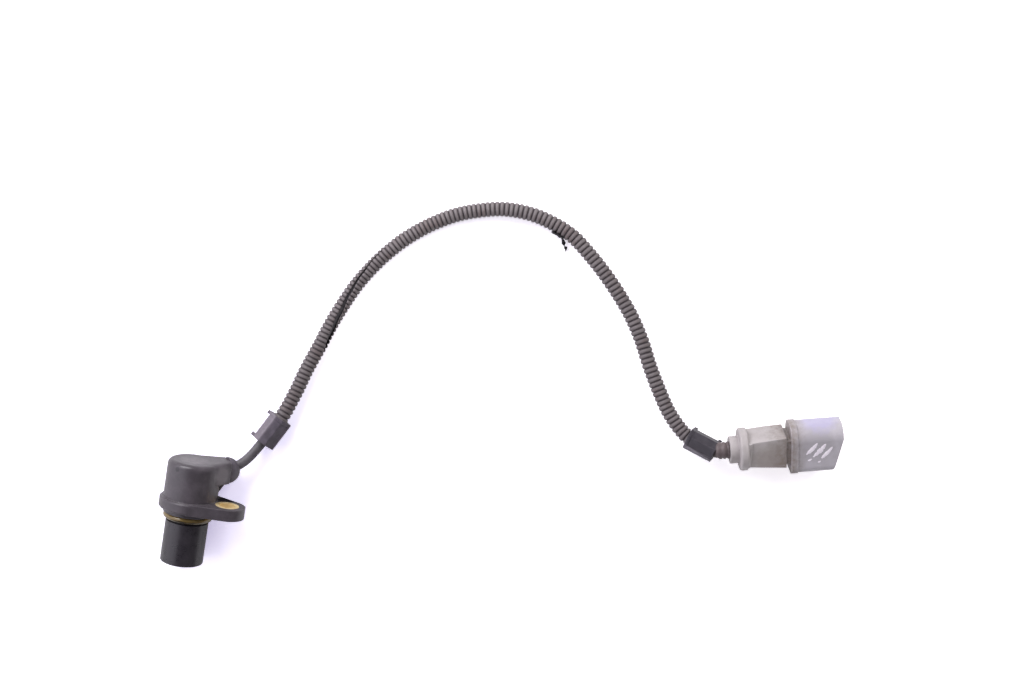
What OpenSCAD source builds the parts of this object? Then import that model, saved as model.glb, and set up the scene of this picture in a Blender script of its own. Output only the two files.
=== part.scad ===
// Crankshaft position sensor: an inductive probe with a bolt lug, lying on a table,
// and its flying lead in a slit conduit, ended by a three-blade connector.
// Millimetres. Z is up from the table, and the sensor lies along Y, tip first.

/* [Probe] */
// Diameter of the probe that enters the crankcase bore
probe_d = 18; // [17:0.1:19]
// Length of the probe from the flange seat to the tip
probe_l = 23.5; // [22:0.5:40]
// Wall of the probe sleeve
sleeve_wall = 2.2; // [2:0.1:2.6]
// Thickness of the sleeve's closed tip
tip_floor = 1; // [0.6:0.1:2]
// Rounding of the tip's edge
tip_round = 0.6; // [0.3:0.1:1.2]
// Depth of sleeve that the housing grips above the seat
socket_depth = 7; // [5:0.5:8]

/* [O-ring] */
// Depth of the O-ring's groove in the probe
groove_depth = 1.28; // [1:0.02:1.4]
// Width of the O-ring's groove
groove_w = 3.6; // [3.3:0.1:4]
// Section diameter of the O-ring
oring_section = 2.62; // [2.4:0.02:2.9]
// Gap between the O-ring and the collar
oring_gap = 0.1; // [0.05:0.05:0.3]

/* [Flange] */
// Diameter of the flange round the probe
flange_d = 25.5; // [24.5:0.1:28]
// Thickness of the flange
flange_t = 4.8; // [4:0.1:6]
// Chamfer on the round flange's edges
flange_edge = 0.6; // [0.2:0.1:1.2]
// Diameter of the lug's end
lug_d = 15.4; // [13:0.1:18]
// Distance from the probe's axis to the bolt's axis
bolt_reach = 16.7; // [16.6:0.1:24]
// Outer diameter of the brass bush
bush_d = 10; // [9:0.1:11]
// Bore of the brass bush
bush_bore_d = 6.7; // [6.2:0.1:7.5]
// Diameter of the collar under the seat
collar_d = 21.1; // [20.9:0.1:22]
// Height of the collar under the seat
collar_h = 1.7; // [1:0.1:2.5]

/* [Head] */
// Diameter of the head
head_d = 22.6; // [22:0.1:24]
// Height of the head above the flange
head_h = 16.2; // [16:0.1:26]
// Rounding of the head's top edge
head_round = 2.3; // [0.8:0.1:3]
// Wall round the head's cavity
head_wall = 3.6; // [3:0.1:4.5]
// Thickness of the head's top
head_top = 3.2; // [2:0.1:3.6]

/* [Cable outlet] */
// Width of the outlet
outlet_w = 11.2; // [10.5:0.1:12]
// Height of the outlet
outlet_h = 9.4; // [9.2:0.1:11.4]
// How far the outlet's end stands above the head's top
outlet_rise = 0.7; // [0.3:0.1:1.2]
// Distance from the probe's axis to the outlet's end
outlet_reach = 14.2; // [14:0.1:18]
// Rounding of the outlet's upper edges
outlet_round = 2.2; // [0.6:0.1:3.6]
// Rounding of the outlet's lower edges
outlet_base_round = 1; // [0.4:0.1:1.6]
// Height of the sloping gusset under the outlet
gusset_h = 4.8; // [2:0.1:5.2]
// Width of the gusset
gusset_w = 7; // [4:0.1:9]
// How far the gusset stays back from the outlet's end
gusset_back = 0.9; // [0.5:0.1:1.6]
// Diameter of the grommet's dome
dome_d = 11.3; // [10:0.1:12]
// Diameter of the grommet's plug in the outlet
plug_d = 7; // [6.8:0.1:7.4]
// Depth of the grommet's plug in the outlet
plug_depth = 4.9; // [3:0.1:5]
// How far the core wires reach past the outlet's end
wire_proud = 0.6; // [0.3:0.1:1]
// How far the cable's sheath reaches into the grommet's hollow
sheath_entry = 0.6; // [0.3:0.1:0.8]

/* [Coil unit] */
// Diameter of the iron pole pin
pole_d = 4; // [3:0.1:5]
// Length that the pole pin stands out of the bobbin
pole_proud = 1; // [0.5:0.1:2]
// Length of the bobbin
bobbin_l = 13; // [10:0.5:15]
// Wall of the bobbin's barrel
bobbin_wall = 1; // [0.8:0.1:1.4]
// Thickness of the bobbin's flanges
bobbin_flange = 1; // [0.6:0.1:1.5]
// How far the winding stays below the bobbin's flange edge
winding_margin = 0.6; // [0.2:0.1:1]
// Diameter of the bias magnet
magnet_d = 9; // [7:0.1:10]
// Length of the bias magnet
magnet_l = 5; // [3:0.5:5]
// Thickness of the terminal carrier's floor over the magnet
carrier_floor = 1; // [0.8:0.1:1.5]
// Width of a sensor terminal strip
strip_w = 1; // [0.8:0.1:1.2]
// Thickness of a sensor terminal strip
strip_t = 0.5; // [0.3:0.1:0.8]
// Spacing of the sensor terminal strips and wires
strip_pitch = 1.7; // [1.6:0.05:1.8]

/* [Lead] */
// Outer diameter of the cable
cable_d = 4.1; // [3.8:0.1:4.2]
// Diameter of one insulated core wire
core_d = 1.2; // [1:0.1:1.3]
// Outer diameter of the conduit
conduit_d = 6.2; // [6.1:0.05:6.6]
// Wall of the conduit
conduit_wall = 0.7; // [0.4:0.05:0.75]

/* [Conduit clips] */
// Length of a clip
clip_l = 13; // [11:0.5:13.5]
// Width of a clip's barrel
clip_w = 9.2; // [8.4:0.1:9.6]
// Height of a clip's barrel
clip_h = 7.8; // [7.6:0.1:8.4]
// Chamfer of a clip's long edges
clip_chamfer = 2.8; // [1:0.1:3]
// Length of the rim at a clip's conduit end
rim_l = 1.3; // [0.8:0.1:2]
// How far the rim stands out
rim_h = 0.4; // [0.2:0.1:0.6]
// Width of the seam flange
seam_w = 0.8; // [0.5:0.1:2]
// Thickness of the seam flange of both halves together
seam_t = 1.8; // [1:0.1:2.6]
// Length and reach of an ear
ear_size = 1.5; // [0.8:0.1:2]
// Thickness of the stop rib that the conduit butts on
stop_rib = 1.2; // [0.8:0.1:2]
// Depth of the open mouth on the cable's side of a clip
mouth_depth = 2.6; // [1:0.1:4]

/* [Connector body] */
// Diameter of the ring that holds the cable seal
ring_d = 11.6; // [9.5:0.1:12]
// Length of the ring
ring_l = 3.9; // [3:0.1:5]
// Diameter of the finger collar
grip_d = 18.3; // [17:0.1:18.6]
// Thickness of the finger collar
grip_t = 3.6; // [2.6:0.1:4.5]
// Rounding of the finger collar's rim
grip_round = 0.9; // [0.4:0.1:1.3]
// Length of the body's block
block_l = 15.8; // [14:0.1:20]
// Width of the block at the collar
block_w_rear = 11.2; // [11:0.1:13.4]
// Width of the block at the shroud
block_w_front = 14.1; // [12.6:0.1:14.5]
// Thickness of the block
block_h = 14.2; // [13:0.1:14.6]
// Chamfer of the block's long edges
block_chamfer = 0.7; // [0.3:0.1:1.5]
// Depth of the recessed panel on the block
panel_depth = 0.7; // [0.3:0.1:1]
// Distance from the collar to the panel
panel_start = 0.8; // [0.6:0.1:5]
// Slant of the panel's rear edge
panel_slant = 6; // [0:1:20]
// Diameter of the cable seal
seal_d = 7.2; // [6:0.1:8]
// Length of the cable seal behind the ring
seal_l = 3.2; // [2:0.1:3.4]
// Length of the space where the cores spread out
fan_l = 4.5; // [3.5:0.1:6]
// Height of that space
fan_h = 4; // [3:0.1:5]

/* [Connector shroud] */
// Width of the shroud
shroud_w = 21; // [20:0.1:24]
// Thickness of the shroud
shroud_h = 15; // [14.6:0.1:17]
// Large rounding of the shroud's corners
shroud_round = 6; // [4.5:0.1:6.5]
// Small rounding of the shroud's keyed corner
key_round = 3.5; // [2.6:0.1:4.4]
// Length of the shroud
shroud_l = 21.9; // [21:0.1:28]
// Gap between the block and the shroud
shroud_gap = 1.9; // [0.6:0.1:2.4]
// Wall of the shroud
shroud_wall = 1.6; // [1.2:0.1:2.2]
// Height of the raised band at the shroud's rear
band_h = 0.4; // [0.2:0.1:0.8]
// Length of the raised band
band_l = 2.8; // [2:0.1:5]
// Depth of the pocket that takes the body's spigot
pocket_depth = 3.2; // [2:0.1:4]
// Thickness of the wall between pocket and socket
bulkhead_t = 3; // [2:0.1:4]
// How far the slanted mouth stays back at the keyed side
slant_l = 4.2; // [1:0.1:5]
// How far the slant reaches across the mouth
slant_w = 15.5; // [8:0.1:17]
// Width of the spigot
spigot_w = 10.9; // [10.7:0.1:11.4]
// Thickness of the spigot
spigot_h = 11.9; // [8:0.1:12.4]

/* [Connector blades] */
// Width of a blade
blade_w = 2.2; // [1.5:0.1:2.4]
// Thickness of a blade
blade_t = 0.8; // [0.5:0.1:1]
// Spacing of the blades
blade_pitch = 3.6; // [3.3:0.05:3.7]
// Depth of the blades' tips below the shroud's mouth
blade_depth = 5.3; // [4.6:0.1:7]
// Diameter of a blade's crimp barrel
crimp_d = 2.8; // [2.4:0.1:3]
// Length of a blade's crimp barrel
crimp_l = 6; // [4:0.1:7]
// Distance from the start of its channel to the crimp barrel
crimp_inset = 0.5; // [0.3:0.1:1]
// Gap at both ends of a core between the cable and its crimp barrel
core_gap = 0.45; // [0.4:0.05:0.6]
// Thickness of the terminal lock plate
lock_t = 1.8; // [1:0.1:2.5]
// Width of the terminal lock plate
lock_w = 14; // [11:0.1:16]
// Height of the terminal lock plate
lock_h = 5; // [4:0.1:8]

/* [Fit] */
// Gap between pieces that are seated in each other
seat_gap = 0.05; // [0.02:0.01:0.08]
// Room round the core wires in the outlet's bore
wire_room = 0.3; // [0.2:0.05:0.4]
// How much wider the grommet's hollow is than that bore
hollow_room = 0.1; // [0.05:0.05:0.2]
// Room round the cable inside its seal
seal_room = 0.2; // [0.15:0.05:0.4]
// Room round the cable inside a clip
clip_room = 0.5; // [0.4:0.05:0.6]

/* [Place on the table] */
// Turn of the sensor on the table, from +Y towards +X
lean = 9.8; // [-20:0.1:20]
// Angle of the bolt lug above the table
lug_angle = 11; // [0:1:40]
// Angle of the cable outlet below the table's plane
outlet_angle = 30; // [20:1:36]
// Turn of the connector on the table
connector_turn = 4.3; // [0:0.1:10]
// Roll of the connector about its own axis
connector_roll = 25; // [10:1:35]
// How far the sensor's clip sits beyond the middle of its stretch
clip_a_shift = -1; // [-1.2:0.1:1.2]
// Roll of the connector's clip about the lead
clip_b_roll = 30; // [0:1:40]
// How far that clip sits beyond the middle of its stretch
clip_b_shift = 0.4; // [0:0.1:0.6]

/* [Hidden] */
$fn = 64;
eps = 0.01;
// How far a cut runs past the face that it opens, and how far a rib is rooted in its wall
over = 1;
// How far a straight side starts inside the round form that it leaves
blend = 0.15;
// Length of the outlet's straight end
end_slab = 1;
// Sides of the round form that the outlet's sides start from, and of its rounded edge
outlet_facets = 48;
round_facets = 24;

// Colours
shade_housing = "#5a555c";
shade_probe = "#3a383c";
shade_ring = "#3b372f";
shade_brass = "#c8a25c";
shade_iron = "#8c8c90";
shade_magnet = "#55565c";
shade_bobbin = "#d8d2bc";
shade_copper = "#b0662f";
shade_carrier = "#2e2c30";
shade_tin = "#c9cacc";
shade_grommet = "#46424a";
shade_cable = "#55534f";
shade_conduit = "#6b6366";
shade_clip = "#4a484c";
shade_seal = "#5a5050";
shade_body = "#b4afae";
shade_shroud = "#b6b3bd";
shade_lock = "#e6e2da";
shade_cores = ["#b23a32", "#3f6fb0", "#d9d5cc"];

// Radii of round pieces
probe_r = probe_d / 2;
bore_r = probe_r - sleeve_wall;
flange_r = flange_d / 2;
lug_r = lug_d / 2;
head_r = head_d / 2;
cable_r = cable_d / 2;
core_r = core_d / 2;
conduit_r = conduit_d / 2;
conduit_bore_r = conduit_r - conduit_wall;
dome_r = dome_d / 2;
plug_r = plug_d / 2;

// Heights along the sensor, from the tip
sleeve_top = probe_l + socket_depth;
seat_s = probe_l;
flange_top = seat_s + flange_t;
head_end = flange_top + head_h;
collar_s = seat_s - collar_h;
oring_s = collar_s - oring_gap - oring_section / 2;
groove_r = probe_r - groove_depth;
oring_r = groove_r + seat_gap + oring_section / 2;
outlet_s = head_end + outlet_rise - outlet_h / 2;
outlet_low = outlet_s - outlet_h / 2;
cavity_r = head_r - head_wall;
cavity_top = head_end - head_top;

// Coil unit, stacked from the tip
unit_r = bore_r - seat_gap;
bobbin_s = tip_floor + seat_gap;
bobbin_top = bobbin_s + bobbin_l;
barrel_r = pole_d / 2 + seat_gap + bobbin_wall;
carrier_s = bobbin_top + seat_gap;
pole_top = bobbin_top + pole_proud;
magnet_s = pole_top + seat_gap;
magnet_top = magnet_s + magnet_l;
carrier_top = sleeve_top - seat_gap;
strip_s = magnet_top + seat_gap + carrier_floor;
strip_top = outlet_s - core_r - seat_gap;
strip_places = [-strip_pitch, 0, strip_pitch];

// Core wires and grommet in the cable outlet
wire_bore_r = strip_pitch + core_r + wire_room;
plug_s = outlet_reach - plug_depth;
wire_end = outlet_reach + wire_proud;
hollow_r = wire_bore_r + hollow_room;

// The sensor lies on its tip's edge and its flange's edge
rise = flange_r - probe_r + tip_round;
run = seat_s + flange_edge - tip_round;
incline = atan2(rise, run) - asin(tip_round / norm([rise, run]));
tip_z = flange_r * cos(incline) - (seat_s + flange_edge) * sin(incline);
sensor_tip = [-9.82, -21.74, tip_z];

// Connector frame: origin at the seal ring's rear face, X along the connector
connector_low = (shroud_w / 2 - shroud_round) * sin(connector_roll)
    + (shroud_h / 2 - shroud_round) * cos(connector_roll) + shroud_round + band_h;
connector_at = [222.7, 25.4, connector_low];
connector_dir = [cos(connector_turn), sin(connector_turn), 0];
grip_u = ring_l;
block_u = grip_u + grip_t;
block_end = block_u + block_l;
shroud_u = block_end + shroud_gap;
bulkhead_u = shroud_u + pocket_depth;
socket_u = bulkhead_u + bulkhead_t;
mouth_u = shroud_u + shroud_l;
spigot_end = bulkhead_u - seat_gap;
cable_end_u = ring_l + grip_t;
channel_u = cable_end_u + fan_l;
channel_r = crimp_d / 2 + seat_gap;
crimp_u = channel_u + crimp_inset;
blade_tip_u = mouth_u - blade_depth;
blade_places = [-blade_pitch, 0, blade_pitch];
core_spread = core_d + seat_gap;
core_places = [-core_spread, 0, core_spread];
fan_w = 2 * blade_pitch + crimp_d;

// Turning and placing points
function unit(v) = v / norm(v);
function turn_x(p, a) = [p.x, p.y * cos(a) - p.z * sin(a), p.y * sin(a) + p.z * cos(a)];
function turn_z(p, a) = [p.x * cos(a) - p.y * sin(a), p.x * sin(a) + p.y * cos(a), p.z];
function sensor_point(p) = sensor_tip + turn_z(turn_x(p, incline - 90), -lean);
function connector_point(u) = connector_at + u * connector_dir;

// Route of the lead on the table, chosen by hand, from the grommet to the connector
lead_run = [
    [14.8, 19.1, 6.85], [18.5, 22, 5.8], [24.5, 29, 4.8], [32.5, 39.5, 4.6], [38.5, 50.5, 3.8], [42.5, 59, 3.4],
    [48, 69, 3.4], [53, 78.5, 3.4], [58.5, 87.5, 3.4], [64, 95.5, 3.4], [71, 103.5, 3.4],
    [78, 110, 3.4], [86, 116, 3.4], [96, 121.5, 3.4], [106.5, 125.5, 3.4], [117, 127.5, 3.4],
    [127.5, 128, 3.4], [138.5, 126, 3.4], [148, 122, 3.4], [156.5, 116.5, 3.4], [163.5, 109, 3.4],
    [169.5, 101.5, 3.4], [176, 92, 3.4], [181.5, 82.5, 3.4], [186, 72, 3.4], [189.5, 61, 3.4],
    [193.5, 50.5, 3.5], [197.5, 41.5, 3.9], [202.5, 34, 4.5], [206, 30.5, 5.2], [216.5, 25, 8.2]
];
clip_a_from = 2;
clip_b_from = 29;

// The cable starts inside the grommet's dome and ends inside the connector
dome_at = sensor_point(turn_z([outlet_reach, 0, outlet_s], outlet_angle));
cable_exit = unit(lead_run[0] - dome_at);
cable_inset = hollow_r - sheath_entry;
cable_path = concat([dome_at + cable_inset * cable_exit], lead_run,
    [connector_point(-seal_l), connector_point(0), connector_point(cable_end_u - seat_gap)]);

// The conduit runs from the stop rib of one clip to the stop rib of the other
conduit_inset = mouth_depth + stop_rib + seat_gap;
clip_a_span = clip_span(clip_a_from, clip_a_shift);
clip_b_span = clip_span(clip_b_from, clip_b_shift);
conduit_path = concat([clip_a_span[0] + conduit_inset * clip_a_span[1]],
    [for (i = [clip_a_from + 1 : clip_b_from]) lead_run[i]],
    [clip_b_span[0] + (clip_l - conduit_inset) * clip_b_span[1]]);

// Start point and direction of a clip that sits near the middle of one stretch of the route
function clip_span(i, shift) =
    let (stretch = lead_run[i + 1] - lead_run[i], along = unit(stretch))
    [lead_run[i] + ((norm(stretch) - clip_l) / 2 + shift) * along, along];

cord_sides = 8;

// Frames

module in_sensor() {
    translate(sensor_tip) rotate([0, 0, -lean]) rotate([incline - 90, 0, 0]) children();
}

module in_connector() {
    translate(connector_at) rotate([0, 0, connector_turn]) rotate([connector_roll, 0, 0]) children();
}

// Turns local Z to a direction
module along(at, dir) {
    translate(at) rotate([0, acos(dir.z), atan2(dir.y, dir.x)]) children();
}

// Turns local X to a direction, and keeps local Y level
module along_level(at, dir) {
    translate(at) rotate([0, -asin(dir.z), atan2(dir.y, dir.x)]) children();
}

// Turns local X of the outlet from the sensor's axis to the outlet's end
module in_outlet() {
    rotate([0, 0, outlet_angle]) translate([0, 0, outlet_s]) children();
}

// Cylinder along X
module x_cylinder(from, to, r) {
    translate([from, 0, 0]) rotate([0, 90, 0]) cylinder(h = to - from, r = r);
}

// Cylinder between two points
module rod(a, b, r) {
    along(a, unit(b - a)) cylinder(h = norm(b - a), r = r);
}

// Flat outlines

// Sides that run from a circle to a second circle at a distance along X, with its round end
module lug_outline(r, end_r, reach) {
    turn = acos((r - end_r) / reach);
    translate([reach, 0]) circle(end_r);
    polygon([
        r * [cos(turn), sin(turn)], [reach, 0] + end_r * [cos(turn), sin(turn)],
        [reach, 0] + end_r * [cos(turn), -sin(turn)], r * [cos(turn), -sin(turn)]
    ]);
}

// A rectangle whose upper and lower corners have their own roundings
module arched_outline(w, h, upper, lower) {
    translate([-w / 2, lower - h / 2]) square([w, h - upper - lower]);
    translate([upper - w / 2, 0]) square([w - 2 * upper, h / 2]);
    translate([lower - w / 2, -h / 2]) square([w - 2 * lower, h / 2]);
    for (side = [-1, 1]) {
        translate([side * (w / 2 - upper), h / 2 - upper]) circle(upper);
        translate([side * (w / 2 - lower), lower - h / 2]) circle(lower);
    }
}

// A rectangle with three large corners and one small corner, at -X +Y
module keyed_outline(w, h, large, small) {
    translate([0, -h / 2]) square([w / 2 - large, h]);
    translate([0, large - h / 2]) square([w / 2, h - 2 * large]);
    translate([large - w / 2, -h / 2]) square([w / 2 - large, h]);
    translate([-w / 2, large - h / 2]) square([w / 2, h - large - small]);
    translate([small - w / 2, 0]) square([w / 2 - small, h / 2]);
    for (corner = [[1, 1], [1, -1], [-1, -1]])
        translate([corner.x * (w / 2 - large), corner.y * (h / 2 - large)]) circle(large);
    translate([small - w / 2, h / 2 - small]) circle(small);
}

// A rectangle with cut corners
module chamfered_outline(w, h, c) {
    polygon([
        [c - w / 2, -h / 2], [w / 2 - c, -h / 2], [w / 2, c - h / 2], [w / 2, h / 2 - c],
        [w / 2 - c, h / 2], [c - w / 2, h / 2], [-w / 2, h / 2 - c], [-w / 2, c - h / 2]
    ]);
}

// Sensor

module head_form() {
    rotate_extrude() {
        translate([0, flange_top - eps]) square([head_r, head_h - head_round + eps]);
        translate([0, flange_top - eps]) square([head_r - head_round, head_h + eps]);
        translate([head_r - head_round, head_end - head_round]) circle(head_round);
    }
}

module flange_form() {
    rotate_extrude() polygon([
        [0, seat_s], [flange_r - flange_edge, seat_s], [flange_r, seat_s + flange_edge],
        [flange_r, flange_top - flange_edge], [flange_r - flange_edge, flange_top], [0, flange_top]
    ]);
    translate([0, 0, collar_s]) cylinder(h = collar_h + eps, d = collar_d);
    rotate([0, 0, -lug_angle]) translate([0, 0, seat_s])
        linear_extrude(flange_t) lug_outline(flange_r - blend, lug_r, bolt_reach);
}

// The outlet's sides run tangent from the head to its end, and a sloping gusset holds it from below
module outlet_form() {
    root = head_r - over;
    inner = head_r - blend - head_round;
    top = head_end - blend - outlet_low;
    rotate([0, 0, outlet_angle]) {
        hull() {
            translate([0, 0, outlet_low]) rotate([0, 0, -90]) rotate_extrude(angle = 180, $fn = outlet_facets) {
                square([head_r - blend, top - head_round]);
                square([inner, top]);
                translate([inner, top - head_round]) circle(head_round, $fn = round_facets);
            }
            translate([outlet_reach - end_slab, 0, outlet_s]) rotate([90, 0, 90]) linear_extrude(end_slab)
                arched_outline(outlet_w, outlet_h, outlet_round, outlet_base_round);
        }
        rotate([90, 0, 0]) linear_extrude(gusset_w, center = true) polygon([
            [root, outlet_low + over], [outlet_reach - gusset_back, outlet_low + over],
            [outlet_reach - gusset_back, outlet_low], [root, outlet_low - gusset_h]
        ]);
    }
}

module sensor_housing() {
    color(shade_housing) in_sensor() difference() {
        union() {
            head_form();
            flange_form();
            outlet_form();
        }
        translate([0, 0, collar_s - eps])
            cylinder(h = sleeve_top + seat_gap - collar_s + eps, r = probe_r + seat_gap);
        translate([0, 0, sleeve_top]) cylinder(h = cavity_top - sleeve_top, r = cavity_r);
        in_outlet() x_cylinder(0, outlet_reach + eps, wire_bore_r);
        in_outlet() x_cylinder(plug_s - seat_gap, outlet_reach + eps, plug_r + seat_gap);
        rotate([0, 0, -lug_angle]) translate([bolt_reach, 0, seat_s - eps])
            cylinder(h = flange_t + 2 * eps, d = bush_d + 2 * seat_gap);
    }
}

module probe_sleeve() {
    color(shade_probe) in_sensor() rotate_extrude() difference() {
        union() {
            translate([0, tip_round]) square([probe_r, sleeve_top - tip_round]);
            square([probe_r - tip_round, sleeve_top]);
            translate([probe_r - tip_round, tip_round]) circle(tip_round);
        }
        translate([-eps, tip_floor]) square([bore_r + eps, sleeve_top]);
        translate([groove_r, collar_s - groove_w]) square([probe_r, groove_w]);
    }
}

module o_ring() {
    color(shade_ring) in_sensor() translate([0, 0, oring_s])
        rotate_extrude() translate([oring_r, 0]) circle(d = oring_section);
}

module flange_bush() {
    color(shade_brass) in_sensor() rotate([0, 0, -lug_angle]) translate([bolt_reach, 0, seat_s])
        difference() {
            cylinder(h = flange_t, d = bush_d);
            translate([0, 0, -eps]) cylinder(h = flange_t + 2 * eps, d = bush_bore_d);
        }
}

module pole_pin() {
    color(shade_iron) in_sensor() translate([0, 0, bobbin_s])
        cylinder(h = pole_top - bobbin_s, d = pole_d);
}

module coil_bobbin() {
    color(shade_bobbin) in_sensor() translate([0, 0, bobbin_s]) difference() {
        union() {
            cylinder(h = bobbin_l, r = barrel_r);
            cylinder(h = bobbin_flange, r = unit_r);
            translate([0, 0, bobbin_l - bobbin_flange]) cylinder(h = bobbin_flange, r = unit_r);
        }
        translate([0, 0, -eps]) cylinder(h = bobbin_l + 2 * eps, r = pole_d / 2 + seat_gap);
    }
}

module coil_winding() {
    low = bobbin_flange + seat_gap;
    color(shade_copper) in_sensor() translate([0, 0, bobbin_s + low]) difference() {
        cylinder(h = bobbin_l - 2 * low, r = unit_r - winding_margin);
        translate([0, 0, -eps]) cylinder(h = bobbin_l, r = barrel_r + seat_gap);
    }
}

module bias_magnet() {
    color(shade_magnet) in_sensor() translate([0, 0, magnet_s]) cylinder(h = magnet_l, d = magnet_d);
}

module terminal_carrier() {
    color(shade_carrier) in_sensor() difference() {
        translate([0, 0, carrier_s]) cylinder(h = carrier_top - carrier_s, r = unit_r);
        translate([0, 0, carrier_s - eps])
            cylinder(h = magnet_top + seat_gap - carrier_s + eps, r = magnet_d / 2 + seat_gap);
        for (place = strip_places) strip_bar(place, carrier_top + eps, seat_gap);
    }
}

// One terminal strip from the carrier up to a height, grown by a clearance
module strip_bar(place, top, grow) {
    rotate([0, 0, outlet_angle])
        translate([-strip_t / 2 - grow, place - strip_w / 2 - grow, strip_s - grow])
        cube([strip_t + 2 * grow, strip_w + 2 * grow, top - strip_s + grow]);
}

module sensor_strip(place) {
    color(shade_tin) in_sensor() strip_bar(place, strip_top, 0);
}

module sensor_core(i) {
    color(shade_cores[i]) in_sensor() in_outlet() translate([0, strip_places[i], 0])
        x_cylinder(-strip_t, wire_end, core_r);
}

module cable_grommet() {
    color(shade_grommet) difference() {
        in_sensor() in_outlet() {
            x_cylinder(plug_s, outlet_reach + eps, plug_r);
            intersection() {
                translate([outlet_reach, 0, 0]) sphere(dome_r);
                x_cylinder(outlet_reach, outlet_reach + dome_r, dome_r + eps);
            }
        }
        in_sensor() in_outlet() x_cylinder(plug_s - eps, outlet_reach + eps, wire_bore_r);
        translate(dome_at) sphere(hollow_r);
        along(dome_at, cable_exit) cylinder(h = dome_r + over, r = cable_r + seat_gap);
    }
}

// Lead

// Corners of one ring of a tube, square to the path
function ring(centre, dir, r) =
    let (side = unit(cross([0, 0, 1], dir)), up = cross(dir, side))
    [for (k = [0 : cord_sides - 1])
        centre + r * (cos(360 * k / cord_sides) * side + sin(360 * k / cord_sides) * up)];

function path_dir(path, i) = unit(path[min(i + 1, len(path) - 1)] - path[max(i - 1, 0)]);

function rings(path, r) =
    [for (i = [0 : len(path) - 1]) each ring(path[i], path_dir(path, i), r)];

// Faces of the tube's wall, from the first ring's point number
function wall_faces(count, first) =
    [for (i = [0 : count - 2], k = [0 : cord_sides - 1])
        let (a = first + i * cord_sides + k, b = first + i * cord_sides + (k + 1) % cord_sides)
        [a, a + cord_sides, b + cord_sides, b]];

function turned(face) = [for (i = [len(face) - 1 : -1 : 0]) face[i]];

module solid_tube(path, r) {
    last = (len(path) - 1) * cord_sides;
    polyhedron(rings(path, r), concat(
        wall_faces(len(path), 0),
        [[for (k = [0 : cord_sides - 1]) k]],
        [[for (k = [cord_sides - 1 : -1 : 0]) last + k]]
    ));
}

module hollow_tube(path, r, bore_r) {
    inner = len(path) * cord_sides;
    last = inner - cord_sides;
    polyhedron(concat(rings(path, r), rings(path, bore_r)), concat(
        wall_faces(len(path), 0),
        [for (face = wall_faces(len(path), inner)) turned(face)],
        [for (k = [0 : cord_sides - 1]) let (n = (k + 1) % cord_sides) [k, n, inner + n, inner + k]],
        [for (k = [0 : cord_sides - 1]) let (n = (k + 1) % cord_sides)
            [last + n, last + k, last + inner + k, last + inner + n]]
    ));
}

module cable() {
    color(shade_cable) solid_tube(cable_path, cable_r);
}

module conduit() {
    color(shade_conduit) hollow_tube(conduit_path, conduit_r, conduit_bore_r);
}

// Clip round the end of the conduit, in two halves that meet at a seam

// Whole clip along X with the cable's mouth at the start, and its ears above or below the seam
module clip_form(ears_up) {
    difference() {
        union() {
            rotate([90, 0, 90]) linear_extrude(clip_l) chamfered_outline(clip_w, clip_h, clip_chamfer);
            translate([clip_l - rim_l, 0, 0]) rotate([90, 0, 90]) linear_extrude(rim_l)
                chamfered_outline(clip_w + 2 * rim_h, clip_h + 2 * rim_h, clip_chamfer + rim_h);
            translate([0, -clip_w / 2 - seam_w, -seam_t / 2]) cube([clip_l, seam_w + over, seam_t]);
            for (start = [0, clip_l - ear_size])
                translate([start, clip_w / 2 - over, ears_up ? 0 : -seam_t / 2])
                cube([ear_size, ear_size + over, seam_t / 2]);
        }
        x_cylinder(-over, clip_l + over, cable_r + clip_room);
        x_cylinder(-over, mouth_depth, conduit_r);
        x_cylinder(mouth_depth + stop_rib, clip_l + over, conduit_r + clip_room / 2);
    }
}

module clip_half(span, roll, flipped, ears_up, upper) {
    big = clip_l + clip_w + clip_h;
    color(shade_clip) along_level(span[0], span[1]) rotate([-roll, 0, 0])
        translate([flipped ? clip_l : 0, 0, 0]) mirror([flipped ? 1 : 0, 0, 0])
        intersection() {
            clip_form(ears_up);
            translate([-over, -big / 2, upper ? seat_gap / 2 : -big - seat_gap / 2]) cube(big);
        }
}

// Connector, along its own X, with the label face towards +Z

module cable_seal() {
    color(shade_seal) in_connector() difference() {
        x_cylinder(-seal_l, -seat_gap, seal_d / 2);
        x_cylinder(-seal_l - eps, 0, cable_r + seal_room);
    }
}

module grip_collar() {
    translate([grip_u, 0, 0]) rotate([0, 90, 0]) rotate_extrude() {
        square([grip_d / 2 - grip_round, grip_t]);
        translate([0, grip_round]) square([grip_d / 2, grip_t - 2 * grip_round]);
        for (level = [grip_round, grip_t - grip_round])
            translate([grip_d / 2 - grip_round, level]) circle(grip_round);
    }
}

module block_form() {
    front = block_w_front / 2;
    rear = block_w_rear / 2;
    start = block_u - eps;
    difference() {
        intersection() {
            translate([0, 0, -block_h / 2]) linear_extrude(block_h)
                polygon([[start, -rear], [block_end, -front], [block_end, front], [start, rear]]);
            translate([start, 0, 0]) rotate([90, 0, 90])
                linear_extrude(block_l + eps) chamfered_outline(block_w_front, block_h, block_chamfer);
        }
        translate([block_u + panel_start, 0, block_h / 2 - panel_depth])
            rotate([0, 0, -panel_slant]) translate([0, -block_l, 0])
            cube([2 * block_l, 2 * block_l, over + panel_depth]);
    }
}

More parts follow.
